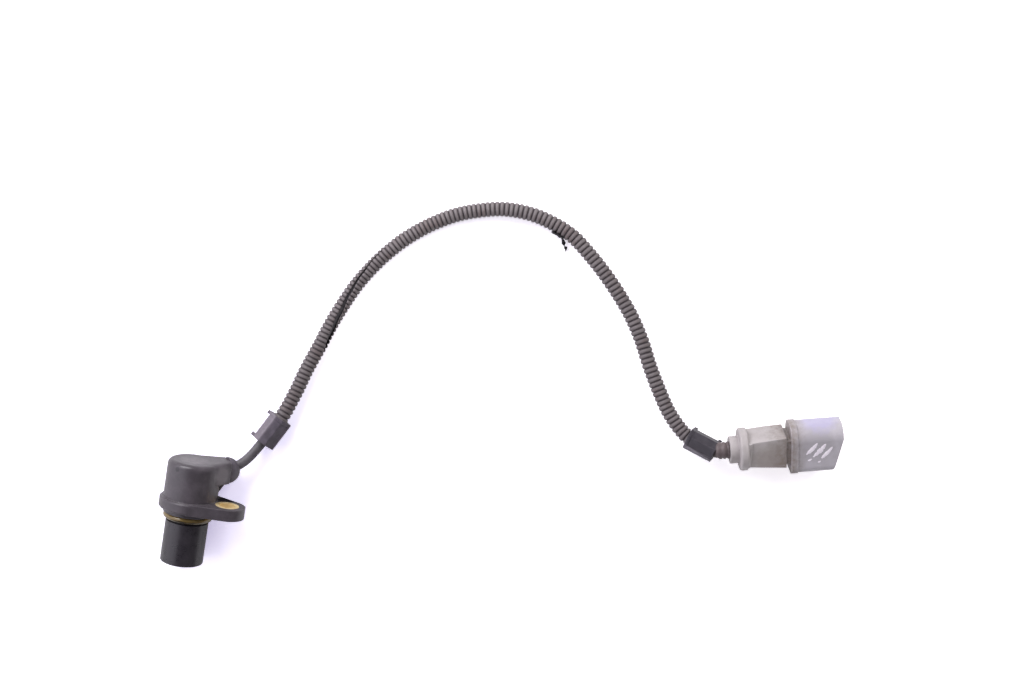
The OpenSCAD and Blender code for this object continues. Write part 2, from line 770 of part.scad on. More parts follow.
module connector_body() {
    color(shade_body) in_connector() difference() {
        union() {
            x_cylinder(0, ring_l + eps, ring_d / 2);
            grip_collar();
            block_form();
            translate([block_end - eps, -spigot_w / 2, -spigot_h / 2])
                cube([spigot_end - block_end + eps, spigot_w, spigot_h]);
        }
        x_cylinder(-eps, cable_end_u + eps, cable_r + seat_gap);
        translate([cable_end_u, -fan_w / 2, -fan_h / 2]) cube([fan_l + eps, fan_w, fan_h]);
        for (place = blade_places)
            translate([0, place, 0]) x_cylinder(channel_u, spigot_end + eps, channel_r);
    }
}

module shroud_prism(from, to, grow) {
    translate([from, 0, 0]) rotate([90, 0, 90]) linear_extrude(to - from)
        keyed_outline(shroud_w + 2 * grow, shroud_h + 2 * grow, shroud_round + grow, key_round + grow);
}

module connector_shroud() {
    color(shade_shroud) in_connector() difference() {
        union() {
            shroud_prism(shroud_u, mouth_u, 0);
            shroud_prism(shroud_u, shroud_u + band_l, band_h);
        }
        translate([shroud_u - eps, -spigot_w / 2 - seat_gap, -spigot_h / 2 - seat_gap])
            cube([pocket_depth + eps, spigot_w + 2 * seat_gap, spigot_h + 2 * seat_gap]);
        shroud_prism(socket_u, mouth_u + over, -shroud_wall);
        for (place = blade_places) blade_bar(place, bulkhead_u - over, socket_u + over, seat_gap);
        mouth_slant();
    }
}

// Slanted part of the mouth, on the keyed side
module mouth_slant() {
    reach = over / slant_w;
    translate([mouth_u, slant_w - shroud_w / 2, -shroud_h]) linear_extrude(2 * shroud_h) polygon([
        [0, 0], [-slant_l * (1 + reach), -slant_w - over], [over, -slant_w - over], [over, 0]
    ]);
}

module terminal_lock() {
    color(shade_lock) in_connector() difference() {
        translate([socket_u + seat_gap, -lock_w / 2, -lock_h / 2]) cube([lock_t, lock_w, lock_h]);
        for (place = blade_places) blade_bar(place, socket_u - over, socket_u + lock_t + over, seat_gap);
    }
}

// Flat bar of a blade between two places along the connector, grown by a clearance
module blade_bar(place, from, to, grow) {
    translate([from, place - blade_w / 2 - grow, -blade_t / 2 - grow])
        cube([to - from, blade_w + 2 * grow, blade_t + 2 * grow]);
}

module blade(place) {
    color(shade_tin) in_connector() {
        translate([0, place, 0]) x_cylinder(crimp_u, crimp_u + crimp_l, crimp_d / 2);
        blade_bar(place, crimp_u + crimp_l - eps, blade_tip_u, 0);
    }
}

module connector_core(i) {
    color(shade_cores[i]) in_connector()
        rod([cable_end_u + core_gap, core_places[i], 0], [crimp_u - core_gap, blade_places[i], 0], core_r);
}

sensor_housing();
probe_sleeve();
o_ring();
flange_bush();
pole_pin();
coil_bobbin();
coil_winding();
bias_magnet();
terminal_carrier();
sensor_strip(strip_places[0]);  // sensor_strip_1
sensor_strip(strip_places[1]);  // sensor_strip_2
sensor_strip(strip_places[2]);  // sensor_strip_3
sensor_core(0);  // sensor_core_1
sensor_core(1);  // sensor_core_2
sensor_core(2);  // sensor_core_3
cable_grommet();
cable();
conduit();
clip_half(clip_a_span, 0, false, true, true);  // clip_a_upper
clip_half(clip_a_span, 0, false, true, false);  // clip_a_lower
clip_half(clip_b_span, clip_b_roll, true, false, true);  // clip_b_upper
clip_half(clip_b_span, clip_b_roll, true, false, false);  // clip_b_lower
cable_seal();
connector_body();
connector_shroud();
terminal_lock();
connector_core(0);  // connector_core_1
connector_core(1);  // connector_core_2
connector_core(2);  // connector_core_3
blade(blade_places[0]);  // blade_1
blade(blade_places[1]);  // blade_2
blade(blade_places[2]);  // blade_3
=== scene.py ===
# Crankshaft position sensor with its lead, as it lies on a table
import bisect
import math

import bmesh
import bpy
from mathutils import Matrix, Vector, noise


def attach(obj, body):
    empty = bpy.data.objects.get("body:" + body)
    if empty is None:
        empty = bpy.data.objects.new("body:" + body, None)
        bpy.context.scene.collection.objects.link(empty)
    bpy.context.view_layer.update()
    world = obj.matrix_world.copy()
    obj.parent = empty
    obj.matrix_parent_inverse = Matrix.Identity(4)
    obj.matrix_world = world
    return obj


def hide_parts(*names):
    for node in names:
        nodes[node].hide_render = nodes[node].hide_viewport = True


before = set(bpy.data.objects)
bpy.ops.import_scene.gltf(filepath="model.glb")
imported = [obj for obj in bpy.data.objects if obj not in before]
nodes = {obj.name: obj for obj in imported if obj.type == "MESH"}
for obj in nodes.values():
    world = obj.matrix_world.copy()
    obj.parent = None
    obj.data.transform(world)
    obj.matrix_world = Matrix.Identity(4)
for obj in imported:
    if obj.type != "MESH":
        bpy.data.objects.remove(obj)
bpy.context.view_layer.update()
scene = bpy.context.scene

MM = 0.001
TURN = 2 * math.pi
UP = Vector((0, 0, 1))
MERGE_WITHIN = 0.001 * MM
BODY = "root"

# Camera straight above the table, at the photograph's scale
IMAGE_W = 1024
TABLE_PIXEL = 0.43 * MM
CAMERA_PLACE = Vector((130.6, 71.6, 700)) * MM
FILM_W = 36.0

camera_data = bpy.data.cameras.new("camera")
camera_data.sensor_width = FILM_W
camera_data.lens = FILM_W * CAMERA_PLACE.z / (IMAGE_W * TABLE_PIXEL)
camera = bpy.data.objects.new("camera", camera_data)
camera.location = CAMERA_PLACE
scene.collection.objects.link(camera)
scene.camera = camera

# Route of the lead in millimetres, from inside the grommet to inside the connector
CABLE_START = [(11.17, 17.51, 7.71)]
LEAD_RUN = [
    (14.8, 19.1, 6.85), (18.5, 22, 5.8), (24.5, 29, 4.8), (32.5, 39.5, 4.6), (38.5, 50.5, 3.8),
    (42.5, 59, 3.4), (48, 69, 3.4), (53, 78.5, 3.4), (58.5, 87.5, 3.4), (64, 95.5, 3.4), (71, 103.5, 3.4),
    (78, 110, 3.4), (86, 116, 3.4), (96, 121.5, 3.4), (106.5, 125.5, 3.4), (117, 127.5, 3.4),
    (127.5, 128, 3.4), (138.5, 126, 3.4), (148, 122, 3.4), (156.5, 116.5, 3.4), (163.5, 109, 3.4),
    (169.5, 101.5, 3.4), (176, 92, 3.4), (181.5, 82.5, 3.4), (186, 72, 3.4), (189.5, 61, 3.4),
    (193.5, 50.5, 3.5), (197.5, 41.5, 3.9), (202.5, 34, 4.5), (206, 30.5, 5.2), (216.5, 25, 8.2),
]
CABLE_END = [(219.51, 25.16, 9.66), (222.7, 25.4, 9.66), (230.13, 25.96, 9.66)]
CABLE_D = 4.1 * MM


class Run:
    """A smooth line through the route's points, read by the distance along it."""

    def __init__(self, points, steps=16):
        self.steps = steps
        knots = [2 * points[0] - points[1], *points, 2 * points[-1] - points[-2]]
        self.points = [points[0]]
        for span in zip(knots, knots[1:], knots[2:], knots[3:]):
            self.points += [self.between(*span, i / steps) for i in range(1, steps + 1)]
        self.marks = [0.0]
        for a, b in zip(self.points, self.points[1:]):
            self.marks.append(self.marks[-1] + (b - a).length)
        self.length = self.marks[-1]

    @staticmethod
    def between(a, b, c, d, share):
        """Point of the centripetal curve between b and c."""
        t0 = 0.0
        t1 = t0 + math.sqrt((b - a).length)
        t2 = t1 + math.sqrt((c - b).length)
        t3 = t2 + math.sqrt((d - c).length)
        t = t1 + share * (t2 - t1)
        ab = a.lerp(b, (t - t0) / (t1 - t0))
        bc = b.lerp(c, (t - t1) / (t2 - t1))
        cd = c.lerp(d, (t - t2) / (t3 - t2))
        early = ab.lerp(bc, (t - t0) / (t2 - t0))
        late = bc.lerp(cd, (t - t1) / (t3 - t1))
        return early.lerp(late, (t - t1) / (t2 - t1))

    def at(self, distance):
        """Point and direction at a distance along the line."""
        i = min(max(bisect.bisect_left(self.marks, distance), 1), len(self.marks) - 1)
        a, b = self.points[i - 1], self.points[i]
        share = (distance - self.marks[i - 1]) / (self.marks[i] - self.marks[i - 1])
        before = self.points[max(i - 2, 0)]
        after = self.points[min(i + 1, len(self.points) - 1)]
        forward = (b - before).normalized().lerp((after - a).normalized(), share).normalized()
        return a.lerp(b, share), forward

    def mark(self, number):
        """Distance along the line at a point's number, which may lie between two points."""
        return self.marks[round(number * self.steps)]

    def lay(self, bm):
        """Bends a piece that was made along X, with Y to the left and Z up, onto the line."""
        for vert in bm.verts:
            centre, forward = self.at(vert.co.x)
            left = UP.cross(forward).normalized()
            vert.co = centre + vert.co.y * left + vert.co.z * forward.cross(left)


def millimetres(points):
    """Places in the frame from points in millimetres."""
    return [Vector(p) * MM for p in points]


def smooth(bm):
    """Shades all faces smoothly."""
    for face in bm.faces:
        face.smooth = True


def new_piece(name, bm, material, slot, *replaced):
    """Makes an object of a mesh, on the part's one body, with a material and the nodes it stands for."""
    mesh = bpy.data.meshes.new(name)
    bm.to_mesh(mesh)
    bm.free()
    mesh.materials.append(material)
    piece = bpy.data.objects.new(name, mesh)
    scene.collection.objects.link(piece)
    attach(piece, BODY)
    if replaced:
        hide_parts(*replaced)
    return piece


def spin_profile(points, steps, angle=TURN):
    """A surface of revolution about X from a profile of (along, radius) points."""
    bm = bmesh.new()
    verts = [bm.verts.new((x, r, 0)) for x, r in points]
    edges = [bm.edges.new(pair) for pair in zip(verts, verts[1:])]
    bmesh.ops.spin(
        bm, geom=verts + edges, cent=(0, 0, 0), axis=(1, 0, 0), angle=angle, steps=steps,
        use_merge=angle == TURN,
    )
    bmesh.ops.remove_doubles(bm, verts=bm.verts, dist=MERGE_WITHIN)
    bmesh.ops.recalc_face_normals(bm, faces=bm.faces)
    return bm


# Materials
PLAIN_GLOSS = 0.5
# Sizes of patches in millimetres
SPOT_PATCH = 3
STAIN_PATCH = 9
TARNISH_PATCH = 2.5
# Shares of a spot's radius: its even middle, and how far its rim wanders
SPOT_MIDDLE = 0.6
SPOT_RIM = 0.3


def srgb(code):
    """Linear colour of a hex sRGB code."""
    parts = [int(code[i:i + 2], 16) / 255 for i in (1, 3, 5)]
    return [c / 12.92 if c <= 0.04045 else ((c + 0.055) / 1.055) ** 2.4 for c in parts] + [1.0]


def per(size_mm):
    """Texture scale at which one feature has this size in millimetres."""
    return 1 / (size_mm * MM)


def add(tree, kind, sockets, **settings):
    """Adds a node, with its settings, and its sockets' values or links."""
    node = tree.nodes.new("ShaderNode" + kind)
    for key, value in settings.items():
        setattr(node, key, value)
    for key, value in sockets.items():
        if isinstance(value, bpy.types.NodeSocket):
            tree.links.new(value, node.inputs[key])
        else:
            node.inputs[key].default_value = value
    return node


def new_material(name):
    """A material with only its output, and its tree."""
    material = bpy.data.materials.new(name)
    material.use_nodes = True
    material.node_tree.nodes.clear()
    return material, material.node_tree


def moulded(
    name, colour, dusty, grain, patch, roughness, relief,
    cover=None, coat=0.0, tint="#ffffff", edge=0.0, worn=None, matt=None,
):
    """Moulded plastic or rubber: its colour, dust in patches, grain and a cover of dirt and of painted
    light and shade.

    It may have soft, worn edges and a matt place, given by its centre and radius.
    The grain is drawn coarser than it is, so that it shows.
    """
    material, tree = new_material(name)
    place = add(tree, "TexCoord", {}).outputs["Object"]
    patches = add(tree, "TexNoise", {
        "Vector": place, "Scale": per(patch), "Detail": 5.0, "Roughness": 0.65,
    })
    grains = add(tree, "TexNoise", {"Vector": place, "Scale": per(grain), "Detail": 3.0, "Roughness": 0.6})
    dust = add(tree, "MapRange", {"Value": patches.outputs["Fac"], "From Min": 0.42, "From Max": 0.72})
    speck = add(tree, "MapRange", {
        "Value": grains.outputs["Fac"], "From Min": 0.5, "From Max": 0.8, "To Max": 0.35,
    })
    amount = add(tree, "Math", {0: dust.outputs[0], 1: speck.outputs[0]}, operation="ADD", use_clamp=True)
    mixed = add(tree, "MixRGB", {"Fac": amount.outputs[0], "Color1": srgb(colour), "Color2": srgb(dusty)})
    base = mixed.outputs[0]
    if cover:
        base = cover(tree, place, base)
    dull = add(tree, "MapRange", {
        "Value": amount.outputs[0], "To Min": roughness, "To Max": min(roughness + 0.15, 1.0),
    })
    bump = add(tree, "Bump", {"Height": grains.outputs["Fac"], "Strength": relief, "Distance": 0.1 * MM})
    if edge:
        soft = add(tree, "Bevel", {"Radius": edge * MM}, samples=6)
        tree.links.new(soft.outputs[0], bump.inputs["Normal"])
        flat = add(tree, "NewGeometry", {}).outputs["True Normal"]
        bend = add(tree, "VectorMath", {0: soft.outputs[0], 1: flat}, operation="DOT_PRODUCT")
        rubbed = add(tree, "MapRange", {"Value": bend.outputs["Value"], "From Min": 0.97, "From Max": 0.8})
        uneven = add(tree, "Math", {0: rubbed.outputs[0], 1: patches.outputs["Fac"]}, operation="MULTIPLY")
        base = add(tree, "MixRGB", {
            "Fac": uneven.outputs[0], "Color1": base, "Color2": srgb(worn),
        }).outputs[0]
    shader = add(tree, "BsdfPrincipled", {
        "Base Color": base, "Roughness": dull.outputs[0], "Normal": bump.outputs[0],
        "Coat Weight": coat, "Coat Roughness": 0.12, "Coat Tint": srgb(tint),
    })
    if matt:
        centre, radius = matt
        away = add(tree, "VectorMath", {0: place, 1: centre}, operation="DISTANCE")
        gloss = add(tree, "MapRange", {
            "Value": away.outputs["Value"], "From Min": radius / 2, "From Max": radius,
            "To Max": PLAIN_GLOSS,
        })
        tree.links.new(gloss.outputs[0], shader.inputs["Specular IOR Level"])
    add(tree, "OutputMaterial", {"Surface": shader.outputs[0]})
    return material


def grime_and_painted_light(direction, starts_at, full_at, colour, patch):
    """Cover that grows from where it starts to where it is full along a direction, broken up in patches:
    dirt on the connector, painted shade on the ring, painted light on the clip at the sensor.
    """
    def cover(tree, place, base):
        along = add(tree, "VectorMath", {0: place, 1: direction}, operation="DOT_PRODUCT")
        broken = add(tree, "TexNoise", {
            "Vector": place, "Scale": per(patch), "Detail": 6.0, "Roughness": 0.7,
        })
        depth = add(tree, "MapRange", {
            "Value": along.outputs["Value"], "From Min": starts_at, "From Max": full_at,
        })
        amount = add(tree, "Math", {0: depth.outputs[0], 1: broken.outputs["Fac"]}, operation="MULTIPLY")
        sharp = add(tree, "MapRange", {"Value": amount.outputs[0], "From Min": 0.12, "From Max": 0.6})
        mixed = add(tree, "MixRGB", {"Fac": sharp.outputs[0], "Color1": base, "Color2": srgb(colour)})
        return mixed.outputs[0]
    return cover


def spot(centre, radius, colour, most=0.9):
    """Cover that is thickest at a point and ends, in patches, at a radius from it."""
    def cover(tree, place, base):
        away = add(tree, "VectorMath", {0: place, 1: centre}, operation="DISTANCE")
        broken = add(tree, "TexNoise", {"Vector": place, "Scale": per(SPOT_PATCH), "Detail": 4.0})
        rough = add(tree, "MapRange", {
            "Value": broken.outputs["Fac"], "To Min": -SPOT_RIM * radius, "To Max": SPOT_RIM * radius,
        })
        edge = add(tree, "Math", {0: away.outputs["Value"], 1: rough.outputs[0]}, operation="ADD")
        amount = add(tree, "MapRange", {
            "Value": edge.outputs[0], "From Min": SPOT_MIDDLE * radius, "From Max": radius,
            "To Min": most, "To Max": 0.0,
        })
        mixed = add(tree, "MixRGB", {"Fac": amount.outputs[0], "Color1": base, "Color2": srgb(colour)})
        return mixed.outputs[0]
    return cover


def covers(*parts):
    """Covers that lie over each other, the last one on top."""
    def cover(tree, place, base):
        for part in parts:
            base = part(tree, place, base)
        return base
    return cover


def ribbed(groove, stain, oily_near, oily_far):
    """Cover for the corrugated tube: painted shade that darkens the grooves, brown stains, and oil towards
    both ends.

    Each end's oil is given as where it starts and ends along X, in millimetres, and how dark it is.
    """
    def cover(tree, place, base):
        height = add(tree, "Attribute", {}, attribute_name=RIB_HEIGHT)
        stains = add(tree, "TexNoise", {
            "Vector": place, "Scale": per(STAIN_PATCH), "Detail": 5.0, "Roughness": 0.7,
        })
        brown = add(tree, "MapRange", {
            "Value": stains.outputs["Fac"], "From Min": 0.5, "From Max": 0.75, "To Max": 0.7,
        })
        stained = add(tree, "MixRGB", {"Fac": brown.outputs[0], "Color1": base, "Color2": srgb(stain)})
        # painted shade: the grooves take the dark colour, the ribs' tops the tube's own
        light = add(tree, "MapRange", {"Value": height.outputs["Fac"], "From Min": 0.3, "From Max": 1.0})
        tube = add(tree, "MixRGB", {
            "Fac": light.outputs[0], "Color1": srgb(groove), "Color2": stained.outputs[0],
        })
        across = add(tree, "SeparateXYZ", {"Vector": place})
        near, far = [
            add(tree, "MapRange", {
                "Value": across.outputs["X"], "From Min": starts_at * MM, "From Max": dark * MM, "To Max": most,
            })
            for starts_at, dark, most in (oily_near, oily_far)
        ]
        oily = add(tree, "Math", {0: near.outputs[0], 1: far.outputs[0]}, operation="ADD")
        return add(tree, "MixRGB", {
            "Fac": oily.outputs[0], "Color1": tube.outputs[0], "Color2": srgb(groove),
        }).outputs[0]
    return cover


def metal(name, colour, tarnish, grain, roughness, shine=1.0):
    """Turned or drawn metal with fine tool marks and patches of tarnish."""
    material, tree = new_material(name)
    place = add(tree, "TexCoord", {}).outputs["Object"]
    patches = add(tree, "TexNoise", {"Vector": place, "Scale": per(TARNISH_PATCH), "Detail": 5.0})
    marks = add(tree, "TexNoise", {"Vector": place, "Scale": per(grain), "Detail": 2.0})
    stain = add(tree, "MapRange", {"Value": patches.outputs["Fac"], "From Min": 0.45, "From Max": 0.7})
    mixed = add(tree, "MixRGB", {"Fac": stain.outputs[0], "Color1": srgb(colour), "Color2": srgb(tarnish)})
    dull = add(tree, "MapRange", {
        "Value": marks.outputs["Fac"], "To Min": roughness - 0.08, "To Max": roughness + 0.12,
    })
    bump = add(tree, "Bump", {"Height": marks.outputs["Fac"], "Strength": 0.25, "Distance": 0.05 * MM})
    shader = add(tree, "BsdfPrincipled", {
        "Base Color": mixed.outputs[0], "Roughness": dull.outputs[0], "Normal": bump.outputs[0],
        "Metallic": shine,
    })
    add(tree, "OutputMaterial", {"Surface": shader.outputs[0]})
    return material


# Mesh attribute that says how high a point lies on the conduit's ribs
RIB_HEIGHT = "rib_height"

# Places on the sensor that are darker or paler than the rest: painted shade at the lug's corner, a painted
# reflection on the outlet's side, a moulding mark on the head and a painted highlight on its end
LUG_CORNER = Vector((9, 4.5, 9.5)) * MM
LUG_CORNER_R = 6 * MM
OUTLET_SIDE = Vector((8, 15.2, 16)) * MM
HEAD_MARK = Vector((-8.1, 18.4, 25.5)) * MM
HEAD_END = Vector((-1.5, 26.9, 18.8)) * MM
# Direction from the probe's tip to the head, and the ring's middle along it
PROBE_AXIS = Vector((0.1681, 0.9731, 0.1573))
RING_AT = -1.03 * MM
# Paler side of each clip, and the clip's middle along that direction; on the clip at the sensor it is
# painted light on its lit side
NEAR_CLIP_SIDE = Vector((-0.795, 0.606, 0))
NEAR_CLIP = NEAR_CLIP_SIDE.dot(Vector((28.5, 34.2, 5)) * MM)
FAR_CLIP_SIDE = Vector((-0.54, -0.84, 0))
FAR_CLIP = FAR_CLIP_SIDE.dot(Vector((208, 29.5, 5.5)) * MM)
# The connector's place and turn, and places on it
CONNECTOR_AT = Vector((222.7, 25.4, 9.66)) * MM
CONNECTOR_TURN = math.radians(4.3)
CONNECTOR_ROLL = math.radians(25)
CONNECTOR_AXIS = Vector((math.cos(CONNECTOR_TURN), math.sin(CONNECTOR_TURN), 0))
PANEL_AT = CONNECTOR_AT + Vector((17.5, -4, 3)) * MM
SHROUD_FACE_AT = CONNECTOR_AT + Vector((35.5, 3.5, 7)) * MM
# Middle of the painted violet sheen on the shroud's top
SHROUD_TOP = CONNECTOR_AT + Vector((37, 13, 2)) * MM
SHROUD_REAR = CONNECTOR_AT.dot(CONNECTOR_AXIS) + 25.2 * MM

# Glass-filled polyamide, moulded: dull dark grey with a violet cast, paler where it is dusty or worn, with
# painted shade on the lug's corner and a painted reflection and highlight on the head
housing_nylon = moulded(
    "glass_filled_polyamide", "#454045", "#534d53", grain=0.35, patch=6, roughness=0.33, relief=0.2,
    # Paler worn edges, and less shine at the lug's corner, under its painted shade
    edge=0.6, worn="#857f85", matt=(LUG_CORNER, LUG_CORNER_R),
    cover=covers(
        # painted shade of the head, dark on the lug's corner
        spot(LUG_CORNER, LUG_CORNER_R, "#29272b"),
        # painted reflection, paler on the outlet's side
        spot(OUTLET_SIDE, 5 * MM, "#6b656a"),
        spot(HEAD_MARK, 1.3 * MM, "#2a272b", most=0.7),
        # painted highlight, paler on the head's end
        spot(HEAD_END, 9 * MM, "#6b656a", most=0.75),
    ),
)
# Unfilled polyamide, moulded in a polished tool: nearly black and smooth
probe_nylon = moulded(
    "smooth_polyamide", "#2a272c", "#343036", grain=0.4, patch=5, roughness=0.27, relief=0.04,
)
# Nitrile rubber, wet with oil: olive, paler in part as a painted highlight, and black on the side of the
# probe's tip as painted shade
ring_rubber = moulded(
    "oily_nitrile_rubber", "#7d704f", "#94865f", grain=0.5, patch=2, roughness=0.3, relief=0.1,
    coat=1.0, tint="#e6d6b0",
    # painted shade: black below the ring's middle, on the side of the probe's tip
    cover=grime_and_painted_light(PROBE_AXIS, RING_AT + 0.4 * MM, RING_AT - 0.4 * MM, "#17151a", patch=4),
)
# Brass, turned: pale gold with darker tarnish
bush_brass = metal("turned_brass", "#f2dba8", "#e2c386", grain=0.3, roughness=0.42, shine=0.4)
# Rubber, moulded: dull and dusty
grommet_rubber = moulded(
    "moulded_rubber", "#4f4a51", "#625c65", grain=0.5, patch=3, roughness=0.5, relief=0.3,
)
# Rubber cable sheath, extruded: dull, even and dusty
sheath_rubber = moulded(
    "extruded_sheath", "#514e52", "#656266", grain=0.5, patch=4, roughness=0.5, relief=0.25,
)
# Polyamide, corrugated: aged to a grey brown, with painted shade in the grooves and oil at both ends
conduit_nylon = moulded(
    "corrugated_polyamide", "#7a7374", "#898283", grain=0.4, patch=6, roughness=0.55, relief=0.25,
    cover=ribbed("#453f41", "#6d5a57", oily_near=(95, 35, 0.4), oily_far=(130, 175, 0.3)),
)
# Polypropylene, moulded: charcoal with a slight shine, paler on one side
clip_plastic = moulded(
    "charcoal_polypropylene", "#39363c", "#464349", grain=0.4, patch=4, roughness=0.35, relief=0.2,
    edge=0.6, worn="#77727b",
    cover=grime_and_painted_light(FAR_CLIP_SIDE, FAR_CLIP + 3.2 * MM, FAR_CLIP + 4 * MM, "#77727b", patch=3),
)
# The same, paler with dust, at the sensor's end, and with painted light on its lit left side
dusty_plastic_painted_light = moulded(
    "dusty_polypropylene_painted_light", "#4f4a52", "#5f5863", grain=0.4, patch=4, roughness=0.34, relief=0.2,
    edge=0.6, worn="#857d87",
    # painted light: paler on the clip's lit left side
    cover=grime_and_painted_light(NEAR_CLIP_SIDE, NEAR_CLIP + 0.6 * MM, NEAR_CLIP + 2 * MM, "#7b737c", patch=3),
)
# Silicone rubber, moulded: brown grey and dull
seal_rubber = moulded(
    "silicone_seal", "#5e5455", "#6e6263", grain=0.4, patch=3, roughness=0.5, relief=0.25,
)
# Polyester, moulded: warm light grey, darker with grime towards the shroud
body_polyester = moulded(
    "warm_grey_polyester", "#b3adad", "#a59f9e", grain=0.4, patch=5, roughness=0.42, relief=0.2,
    edge=0.7, worn="#d8d2d4",
    cover=covers(
        spot(PANEL_AT, 9 * MM, "#8f8681", most=0.6),
        grime_and_painted_light(CONNECTOR_AXIS, SHROUD_REAR - 14 * MM, SHROUD_REAR, "#7a6f68", patch=2.5),
    ),
)
# Polyester, moulded: cool light grey, darker on its face, with a painted violet sheen near its top and
# brown grime at the shroud's rear
shroud_polyester = moulded(
    "cool_grey_polyester", "#bab6bd", "#aeaab0", grain=0.4, patch=5, roughness=0.38, relief=0.15,
    edge=0.7, worn="#dcd7df",
    cover=covers(
        spot(SHROUD_FACE_AT, 9 * MM, "#a9a5ab"),
        # painted sheen: violet towards the shroud's top
        spot(SHROUD_TOP, 10 * MM, "#b3aed2", most=0.6),
        grime_and_painted_light(CONNECTOR_AXIS, SHROUD_REAR + 9 * MM, SHROUD_REAR, "#8a807a", patch=2),
    ),
)
# Paint, dabbed on thinly: white with a slight shine
white_paint = moulded(
    "white_paint", "#f6f0f8", "#e6dce8", grain=0.3, patch=1.5, roughness=0.4, relief=0.2,
)
# Fabric tape, torn: black and matt
black_tape = moulded(
    "black_tape", "#1c1a1e", "#2a282c", grain=0.3, patch=1.5, roughness=0.7, relief=0.4,
)
# Polyester, moulded: the white lock plate in the connector
lock_polyester = moulded(
    "white_polyester", "#e6e2da", "#d6d0c6", grain=0.4, patch=4, roughness=0.45, relief=0.15,
)
# Soft iron, turned: grey with fine tool marks
pole_iron = metal("soft_iron", "#8c8c90", "#6f6e72", grain=0.2, roughness=0.4)
# Magnet, sintered: dark grey and grainy
magnet_grain = moulded(
    "sintered_magnet", "#55565c", "#66676d", grain=0.2, patch=3, roughness=0.5, relief=0.3,
)
# Polyamide, moulded without colour: the cream bobbin
bobbin_nylon = moulded(
    "natural_polyamide", "#d8d2bc", "#c8c1a8", grain=0.4, patch=4, roughness=0.45, relief=0.15,
)
# Copper wire, enamelled: brown red, with the fine lines of its turns
coil_copper = metal("enamelled_copper", "#b0662f", "#8a4c20", grain=0.12, roughness=0.3)
# Polyester, moulded: the black terminal carrier
carrier_plastic = moulded(
    "black_polyester", "#2e2c30", "#3d3a40", grain=0.4, patch=4, roughness=0.45, relief=0.2,
)
# Bronze, stamped and tinned: silver grey
blade_tin = metal("tinned_bronze", "#c9cacc", "#a9a9ac", grain=0.2, roughness=0.32)
# Core insulation, extruded: smooth, one colour for each way
core_red = moulded("red_core", "#b23a32", "#c0544c", grain=0.5, patch=3, roughness=0.4, relief=0.1)
core_blue = moulded("blue_core", "#3f6fb0", "#5880bb", grain=0.5, patch=3, roughness=0.4, relief=0.1)
core_white = moulded("white_core", "#d9d5cc", "#e4e1da", grain=0.5, patch=3, roughness=0.4, relief=0.1)

# Which node has which finish, and the pieces of the three ways
WAYS = (1, 2, 3)
FINISHES = {
    "sensor_housing": housing_nylon, "probe_sleeve": probe_nylon, "o_ring": ring_rubber,
    "flange_bush": bush_brass, "pole_pin": pole_iron, "coil_bobbin": bobbin_nylon,
    "coil_winding": coil_copper, "bias_magnet": magnet_grain, "terminal_carrier": carrier_plastic,
    "cable_grommet": grommet_rubber, "cable": sheath_rubber, "conduit": conduit_nylon,
    "clip_a_upper": dusty_plastic_painted_light, "clip_a_lower": dusty_plastic_painted_light,
    "clip_b_upper": clip_plastic, "clip_b_lower": clip_plastic,
    "cable_seal": seal_rubber, "connector_body": body_polyester, "connector_shroud": shroud_polyester,
    "terminal_lock": lock_polyester,
}
for way, core in zip(WAYS, (core_red, core_blue, core_white)):
    FINISHES[f"sensor_strip_{way}"] = blade_tin
    FINISHES[f"sensor_core_{way}"] = core
    FINISHES[f"connector_core_{way}"] = core
    FINISHES[f"blade_{way}"] = blade_tin
for name, material in FINISHES.items():
    nodes[name].data.materials.clear()
    nodes[name].data.materials.append(material)

# Cable
CABLE_RINGS = 330
CABLE_SIDES = 20
cable_run = Run(millimetres(CABLE_START + LEAD_RUN + CABLE_END))


def make_cable():
    """Round sheathed cable with closed ends."""
    radius = CABLE_D / 2
    profile = [(0, 0)]
    profile += [(cable_run.length * i / CABLE_RINGS, radius) for i in range(CABLE_RINGS + 1)]
    profile.append((cable_run.length, 0))
    bm = spin_profile(profile, CABLE_SIDES)
    smooth(bm)
    cable_run.lay(bm)
    return new_piece("lead_cable", bm, sheath_rubber, "sheath", "cable")


cable = make_cable()

# Ribbed boot of the seal, which follows the cable from the connector's ring into the clip's mouth
BOOT_L = 7.2 * MM
BOOT_SIDES = 32
# Profile from the clip to the ring: share of the length, radius in millimetres
BOOT_PROFILE = [
    (0, 2.15), (0, 2.7), (0.06, 2.9), (0.3, 3.0), (0.36, 3.2), (0.4, 3.6), (0.5, 3.65), (0.54, 3.3),
    (0.6, 3.3), (0.64, 3.65), (0.74, 3.65), (0.78, 3.3), (0.84, 3.3), (0.88, 3.65), (0.99, 3.65),
    (0.99, 2.15),
]


def make_boot():
    """The seal's boot with its three ribs, laid on the cable."""
    ring_face = cable_run.mark(len(CABLE_START + LEAD_RUN) + 1)
    profile = [(ring_face + (share - 1) * BOOT_L, radius * MM) for share, radius in BOOT_PROFILE]
    bm = spin_profile(profile, BOOT_SIDES)
    smooth(bm)
    cable_run.lay(bm)
    return new_piece("seal_boot", bm, seal_rubber, "seal", "cable_seal")


boot = make_boot()

# Conduit: a corrugated tube with a slit that winds round it, between two numbers of the route's points
CONDUIT_FROM = 2
CONDUIT_TO = 30
CONDUIT_INSET = 3 * MM
CONDUIT_SIDES = 28
PATH_STEPS = 200
RIB_R = 3.25 * MM
GROOVE_R = 2.62 * MM
CONDUIT_WALL = 0.4 * MM
SEAM = math.radians(3)
# The tube is stretched a little unevenly: share of its length, rib pitch there
RIB_PITCHES = [
    (0, 2.06), (0.15, 1.97), (0.3, 1.89), (0.45, 1.95), (0.6, 2.12), (0.7, 2.18), (0.85, 2.14), (1, 2.02),
]
